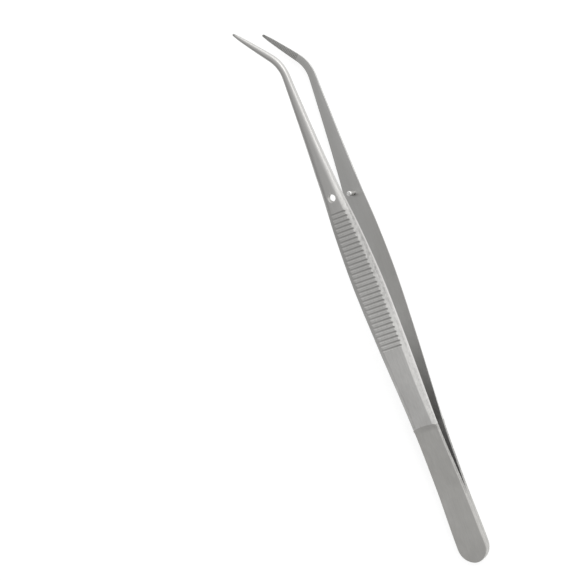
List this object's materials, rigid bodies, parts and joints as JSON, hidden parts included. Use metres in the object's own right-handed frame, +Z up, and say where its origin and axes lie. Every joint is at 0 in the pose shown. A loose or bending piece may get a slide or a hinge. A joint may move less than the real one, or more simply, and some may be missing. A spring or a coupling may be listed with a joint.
{
  "type": "college tweezers",
  "caption": "Spring tweezers in satin stainless steel: ribbed handles, half-round shanks, angled toothed jaws, and a guide pin that enters a hole in the facing arm.",
  "frame": {"origin": "on the lower (far) arm's flat outer handle face, on the centre line, 55 mm from the butt; the object lies on this face", "axes": "+X from the butt towards the jaws along the face the object lies on, +Y the way the jaws bend, +Z up, from the lower arm towards the upper arm"},
  "size_m": [0.1502, 0.0143, 0.0209],
  "materials": {
    "arm_steel": "satin, fine lengthwise brushing, duller on the spring leaf and butt, brighter on bevels and shanks",
    "pin_steel": "turned and lightly polished",
    "weld_steel": "ground flush, satin"
  },
  "bodies": {
    "butt": {"near_heel": "arm_steel", "far_heel": "arm_steel", "butt_weld": "weld_steel"},
    "near_arm": {"near_blade": "arm_steel"},
    "far_arm": {"far_blade": "arm_steel", "guide_pin": "pin_steel"}
  },
  "joints": [
    {"name": "near_arm_flex", "type": "hinge", "parent": "butt", "child": "near_arm", "pos_m": [-0.02739, 0, 0.00488], "axis": [0, 1, 0], "range_deg": [0, 4.15], "stiffness_Nm_per_rad": 3},
    {"name": "far_arm_flex", "type": "hinge", "parent": "butt", "child": "far_arm", "pos_m": [-0.02717, 0, 0.00167], "axis": [0, -1, 0], "range_deg": [0, 4.15], "stiffness_Nm_per_rad": 3}
  ]
}
